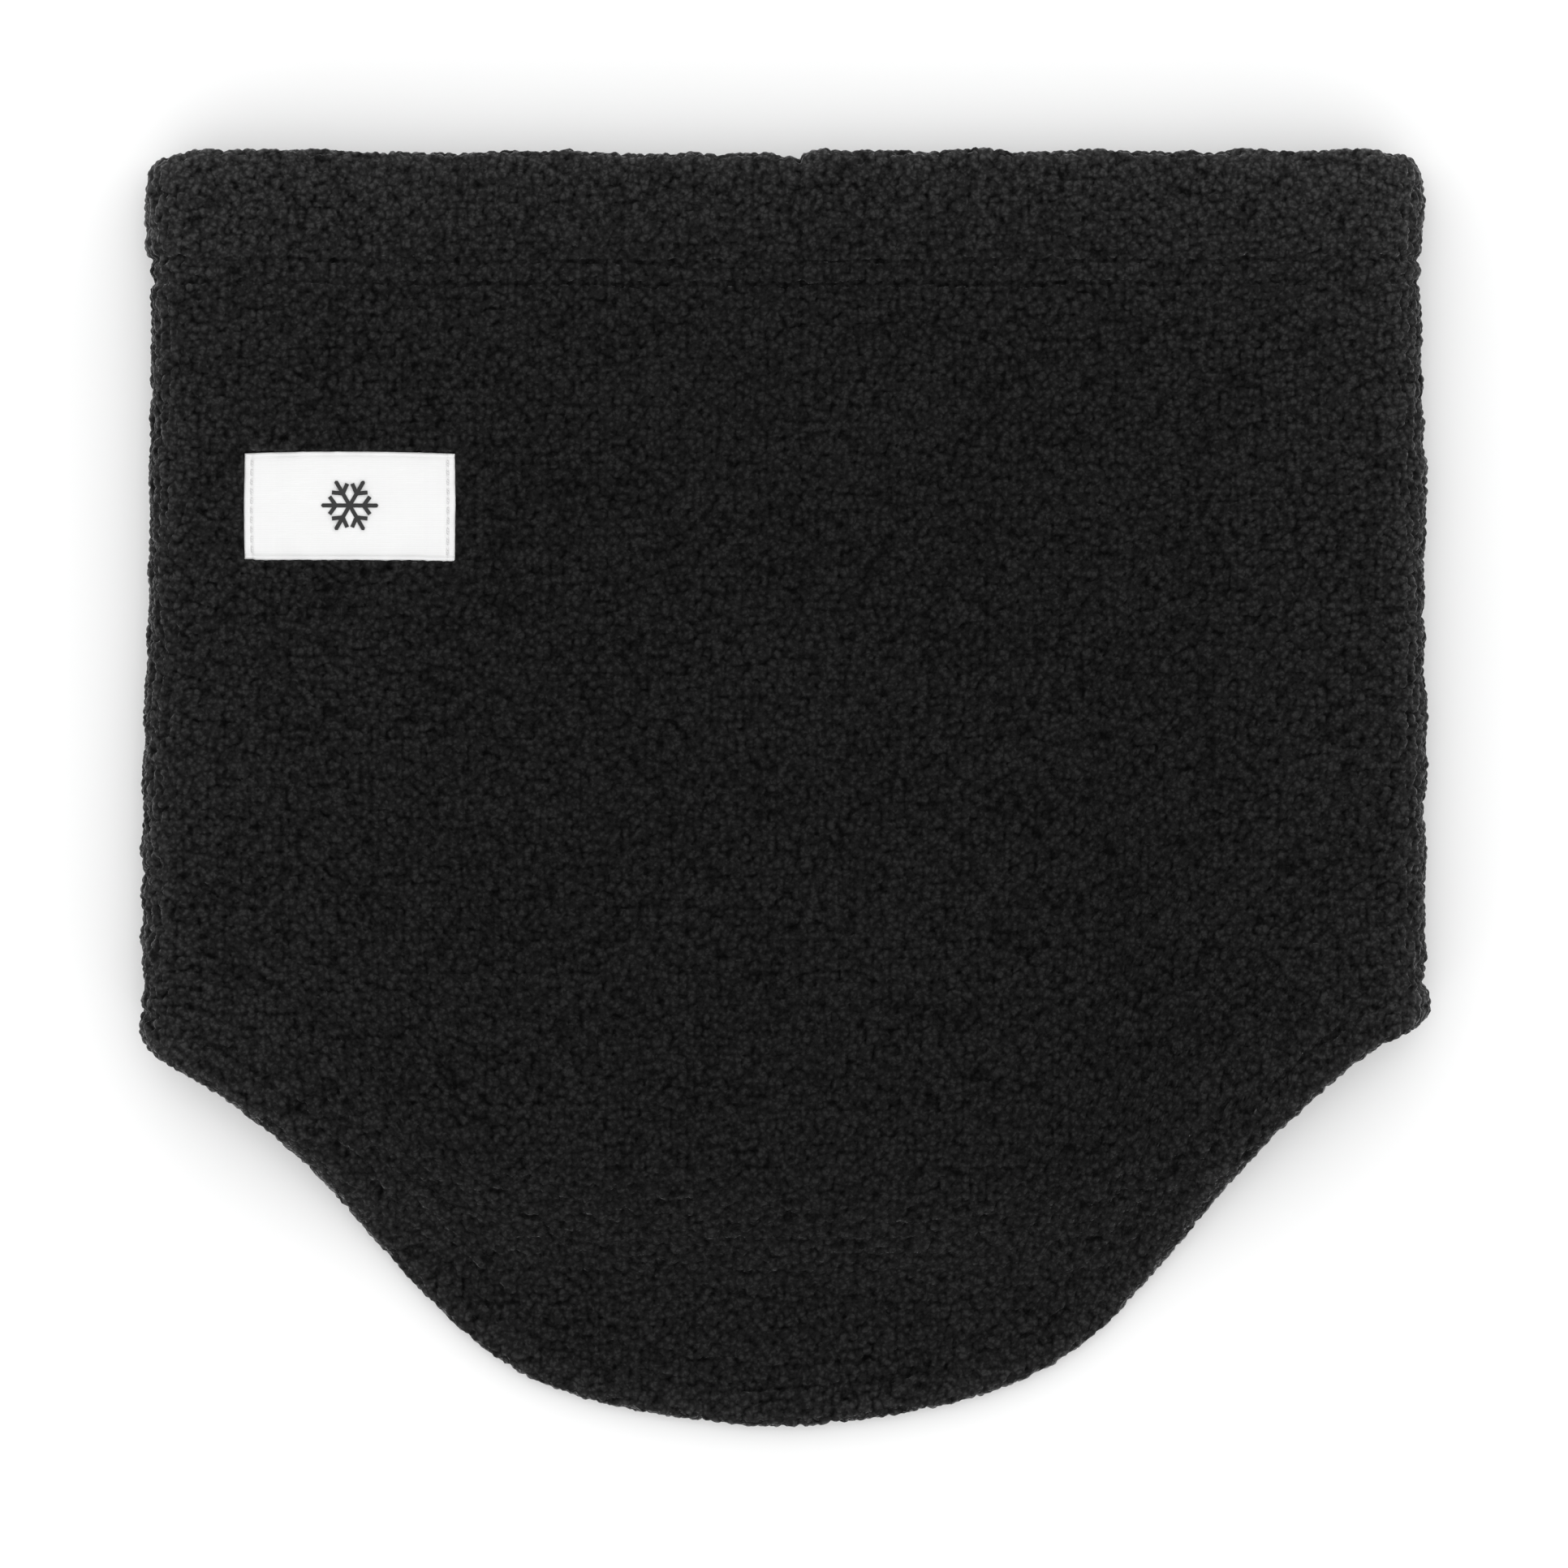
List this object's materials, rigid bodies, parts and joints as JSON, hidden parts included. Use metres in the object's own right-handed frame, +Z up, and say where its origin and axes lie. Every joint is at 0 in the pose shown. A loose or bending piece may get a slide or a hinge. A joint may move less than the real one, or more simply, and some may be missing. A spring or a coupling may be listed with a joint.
{
  "type": "neck gaiter",
  "caption": "Pull-on neck gaiter of black curly pile fleece: a sewn tube with turned, stitched hems, a long rounded front bib and a small woven label, lying flat.",
  "frame": {"origin": "middle of the outline in plan, on the surface that the gaiter's back lies on", "axes": "+X across the gaiter towards the wearer's left side fold, +Y towards the top hem, +Z up out of the front"},
  "size_m": [0.27, 0.268, 0.0198],
  "materials": {
    "fleece": "black curly pile fleece, matt with a soft sheen",
    "black_thread": "black spun polyester sewing thread",
    "label_weave": "white woven satin label",
    "motif_thread": "dark grey woven thread",
    "white_thread": "white spun polyester sewing thread"
  },
  "bodies": {
    "root": {"fleece_tube": "fleece", "top_hem_turning": "fleece", "bottom_hem_turning": "fleece", "centre_seam_allowance": "fleece", "centre_seam_overlock_thread": "black_thread", "top_hem_needle_thread_upper": "black_thread", "top_hem_needle_thread_lower": "black_thread", "top_hem_looper_thread": "black_thread", "bottom_hem_needle_thread_outer": "black_thread", "bottom_hem_needle_thread_inner": "black_thread", "bottom_hem_looper_thread": "black_thread", "woven_label": "label_weave", "label_motif": "motif_thread", "label_stitch_left": "white_thread", "label_stitch_right": "white_thread"}
  },
  "joints": []
}
